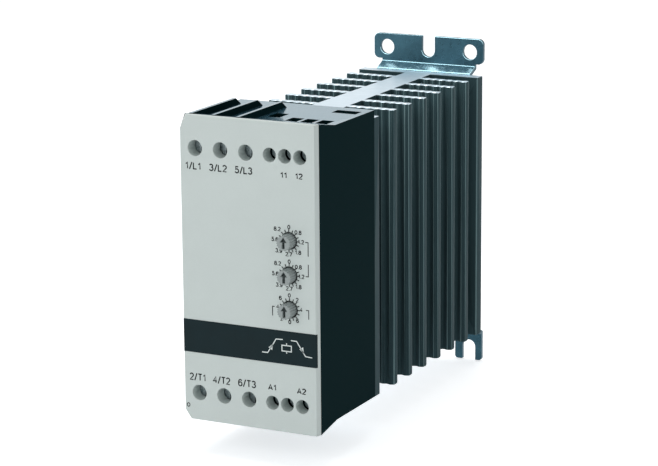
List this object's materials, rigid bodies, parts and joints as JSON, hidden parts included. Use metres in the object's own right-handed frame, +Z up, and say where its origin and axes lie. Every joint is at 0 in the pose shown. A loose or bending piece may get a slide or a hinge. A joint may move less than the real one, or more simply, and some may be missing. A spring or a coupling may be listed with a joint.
{
  "type": "soft-start motor controller",
  "caption": "Narrow panel-mounted motor soft starter: grey front with screw terminals and setting dials, black housing, long finned heat sink on a folded bracket with slotted ears.",
  "frame": {"origin": "midway between the two round holes in the bracket's upper ear, on the mounting plane at the back", "axes": "+X to the right seen from the front, +Y into the panel, +Z up"},
  "size_m": [0.045, 0.1326, 0.1089],
  "materials": {
    "housing_black": "black moulded plastic, satin",
    "cover_grey": "light grey moulded plastic",
    "band_dark": "dark printed foil",
    "dial_grey": "mid grey moulded plastic",
    "switch_black": "black moulded plastic",
    "sink_black": "black anodised, bright at the sawn ends",
    "zinc_sheet": "zinc-plated sheet steel",
    "screw_steel": "zinc-plated steel",
    "cage_steel": "zinc-plated steel",
    "copper": "tinned copper alloy",
    "board_green": "glass-fibre circuit board",
    "link_black": "plug strip with pins",
    "chip_black": "moulded semiconductor",
    "pad_grey": "thin insulating pad",
    "relay_blue": "moulded relay case",
    "capacitor_sleeve": "sleeved aluminium can",
    "varistor_blue": "coated ceramic disc"
  },
  "bodies": {
    "module": {"heat_sink": "sink_black", "housing": "housing_black", "front_cover": "cover_grey", "label_band": "band_dark", "mounting_bracket": "zinc_sheet", "ramp_up_switch": "switch_black", "ramp_down_switch": "switch_black", "torque_switch": "switch_black", "line_bar_1": "copper", "line_bar_3": "copper", "signal_bar_1": "copper", "signal_bar_2": "copper", "signal_bar_3": "copper", "load_bar_1": "copper", "load_bar_3": "copper", "control_bar_1": "copper", "control_bar_2": "copper", "control_bar_3": "copper", "through_bar": "copper", "control_board": "board_green", "power_board": "board_green", "board_link": "link_black", "thyristor_1": "chip_black", "thyristor_3": "chip_black", "insulating_pad": "pad_grey", "signal_relay": "relay_blue", "supply_capacitor": "capacitor_sleeve", "surge_varistors": "varistor_blue", "housing_screws": "screw_steel", "thyristor_screws": "screw_steel", "bracket_screws": "screw_steel"},
    "ramp_up_dial": {"ramp_up_dial": "dial_grey"},
    "ramp_down_dial": {"ramp_down_dial": "dial_grey"},
    "torque_dial": {"torque_dial": "dial_grey"},
    "line_screw_1": {"line_screw_1": "screw_steel"},
    "line_screw_2": {"line_screw_2": "screw_steel"},
    "line_screw_3": {"line_screw_3": "screw_steel"},
    "line_clamp_1": {"line_clamp_1": "cage_steel"},
    "line_clamp_2": {"line_clamp_2": "cage_steel"},
    "line_clamp_3": {"line_clamp_3": "cage_steel"},
    "signal_screw_1": {"signal_screw_1": "screw_steel"},
    "signal_screw_2": {"signal_screw_2": "screw_steel"},
    "signal_screw_3": {"signal_screw_3": "screw_steel"},
    "signal_clamp_1": {"signal_clamp_1": "cage_steel"},
    "signal_clamp_2": {"signal_clamp_2": "cage_steel"},
    "signal_clamp_3": {"signal_clamp_3": "cage_steel"},
    "load_screw_1": {"load_screw_1": "screw_steel"},
    "load_screw_2": {"load_screw_2": "screw_steel"},
    "load_screw_3": {"load_screw_3": "screw_steel"},
    "load_clamp_1": {"load_clamp_1": "cage_steel"},
    "load_clamp_2": {"load_clamp_2": "cage_steel"},
    "load_clamp_3": {"load_clamp_3": "cage_steel"},
    "control_screw_1": {"control_screw_1": "screw_steel"},
    "control_screw_2": {"control_screw_2": "screw_steel"},
    "control_screw_3": {"control_screw_3": "screw_steel"},
    "control_clamp_1": {"control_clamp_1": "cage_steel"},
    "control_clamp_2": {"control_clamp_2": "cage_steel"},
    "control_clamp_3": {"control_clamp_3": "cage_steel"}
  },
  "joints": [
    {"name": "ramp_up_turn", "type": "hinge", "parent": "module", "child": "ramp_up_dial", "pos_m": [0.01415, -0.12895, -0.0362], "axis": [0, 1, 0], "continuous": true},
    {"name": "ramp_down_turn", "type": "hinge", "parent": "module", "child": "ramp_down_dial", "pos_m": [0.01415, -0.12895, -0.0464], "axis": [0, 1, 0], "continuous": true},
    {"name": "torque_turn", "type": "hinge", "parent": "module", "child": "torque_dial", "pos_m": [0.01415, -0.12895, -0.0566], "axis": [0, 1, 0], "continuous": true},
    {"name": "line_screw_1_turn", "type": "hinge", "parent": "module", "child": "line_screw_1", "pos_m": [-0.0164, -0.11895, -0.0115], "axis": [0, 1, 0], "range_deg": [0, 3240]},
    {"name": "line_clamp_1_rise", "type": "slide", "parent": "module", "child": "line_clamp_1", "axis": [0, -1, 0], "range_m": [0, 0.0054]},
    {"name": "line_screw_2_turn", "type": "hinge", "parent": "module", "child": "line_screw_2", "pos_m": [-0.00805, -0.11895, -0.0115], "axis": [0, 1, 0], "range_deg": [0, 3240]},
    {"name": "line_clamp_2_rise", "type": "slide", "parent": "module", "child": "line_clamp_2", "axis": [0, -1, 0], "range_m": [0, 0.0054]},
    {"name": "line_screw_3_turn", "type": "hinge", "parent": "module", "child": "line_screw_3", "pos_m": [0.0003, -0.11895, -0.0115], "axis": [0, 1, 0], "range_deg": [0, 3240]},
    {"name": "line_clamp_3_rise", "type": "slide", "parent": "module", "child": "line_clamp_3", "axis": [0, -1, 0], "range_m": [0, 0.0054]},
    {"name": "signal_screw_1_turn", "type": "hinge", "parent": "module", "child": "signal_screw_1", "pos_m": [0.0081, -0.11895, -0.0115], "axis": [0, 1, 0], "range_deg": [0, 2880]},
    {"name": "signal_clamp_1_rise", "type": "slide", "parent": "module", "child": "signal_clamp_1", "axis": [0, -1, 0], "range_m": [0, 0.0036]},
    {"name": "signal_screw_2_turn", "type": "hinge", "parent": "module", "child": "signal_screw_2", "pos_m": [0.013, -0.11895, -0.0115], "axis": [0, 1, 0], "range_deg": [0, 2880]},
    {"name": "signal_clamp_2_rise", "type": "slide", "parent": "module", "child": "signal_clamp_2", "axis": [0, -1, 0], "range_m": [0, 0.0036]},
    {"name": "signal_screw_3_turn", "type": "hinge", "parent": "module", "child": "signal_screw_3", "pos_m": [0.0179, -0.11895, -0.0115], "axis": [0, 1, 0], "range_deg": [0, 2880]},
    {"name": "signal_clamp_3_rise", "type": "slide", "parent": "module", "child": "signal_clamp_3", "axis": [0, -1, 0], "range_m": [0, 0.0036]},
    {"name": "load_screw_1_turn", "type": "hinge", "parent": "module", "child": "load_screw_1", "pos_m": [-0.0164, -0.11895, -0.08555], "axis": [0, 1, 0], "range_deg": [0, 3240]},
    {"name": "load_clamp_1_rise", "type": "slide", "parent": "module", "child": "load_clamp_1", "axis": [0, -1, 0], "range_m": [0, 0.0054]},
    {"name": "load_screw_2_turn", "type": "hinge", "parent": "module", "child": "load_screw_2", "pos_m": [-0.00805, -0.11895, -0.08555], "axis": [0, 1, 0], "range_deg": [0, 3240]},
    {"name": "load_clamp_2_rise", "type": "slide", "parent": "module", "child": "load_clamp_2", "axis": [0, -1, 0], "range_m": [0, 0.0054]},
    {"name": "load_screw_3_turn", "type": "hinge", "parent": "module", "child": "load_screw_3", "pos_m": [0.0003, -0.11895, -0.08555], "axis": [0, 1, 0], "range_deg": [0, 3240]},
    {"name": "load_clamp_3_rise", "type": "slide", "parent": "module", "child": "load_clamp_3", "axis": [0, -1, 0], "range_m": [0, 0.0054]},
    {"name": "control_screw_1_turn", "type": "hinge", "parent": "module", "child": "control_screw_1", "pos_m": [0.0081, -0.11895, -0.08555], "axis": [0, 1, 0], "range_deg": [0, 2880]},
    {"name": "control_clamp_1_rise", "type": "slide", "parent": "module", "child": "control_clamp_1", "axis": [0, -1, 0], "range_m": [0, 0.0036]},
    {"name": "control_screw_2_turn", "type": "hinge", "parent": "module", "child": "control_screw_2", "pos_m": [0.013, -0.11895, -0.08555], "axis": [0, 1, 0], "range_deg": [0, 2880]},
    {"name": "control_clamp_2_rise", "type": "slide", "parent": "module", "child": "control_clamp_2", "axis": [0, -1, 0], "range_m": [0, 0.0036]},
    {"name": "control_screw_3_turn", "type": "hinge", "parent": "module", "child": "control_screw_3", "pos_m": [0.0179, -0.11895, -0.08555], "axis": [0, 1, 0], "range_deg": [0, 2880]},
    {"name": "control_clamp_3_rise", "type": "slide", "parent": "module", "child": "control_clamp_3", "axis": [0, -1, 0], "range_m": [0, 0.0036]}
  ],
  "couplings": [
    {"joint": "line_screw_1_turn", "follows": "line_clamp_1_rise", "rad_per_m": 10472},
    {"joint": "line_screw_2_turn", "follows": "line_clamp_2_rise", "rad_per_m": 10472},
    {"joint": "line_screw_3_turn", "follows": "line_clamp_3_rise", "rad_per_m": 10472},
    {"joint": "signal_screw_1_turn", "follows": "signal_clamp_1_rise", "rad_per_m": 13963},
    {"joint": "signal_screw_2_turn", "follows": "signal_clamp_2_rise", "rad_per_m": 13963},
    {"joint": "signal_screw_3_turn", "follows": "signal_clamp_3_rise", "rad_per_m": 13963},
    {"joint": "load_screw_1_turn", "follows": "load_clamp_1_rise", "rad_per_m": 10472},
    {"joint": "load_screw_2_turn", "follows": "load_clamp_2_rise", "rad_per_m": 10472},
    {"joint": "load_screw_3_turn", "follows": "load_clamp_3_rise", "rad_per_m": 10472},
    {"joint": "control_screw_1_turn", "follows": "control_clamp_1_rise", "rad_per_m": 13963},
    {"joint": "control_screw_2_turn", "follows": "control_clamp_2_rise", "rad_per_m": 13963},
    {"joint": "control_screw_3_turn", "follows": "control_clamp_3_rise", "rad_per_m": 13963}
  ]
}
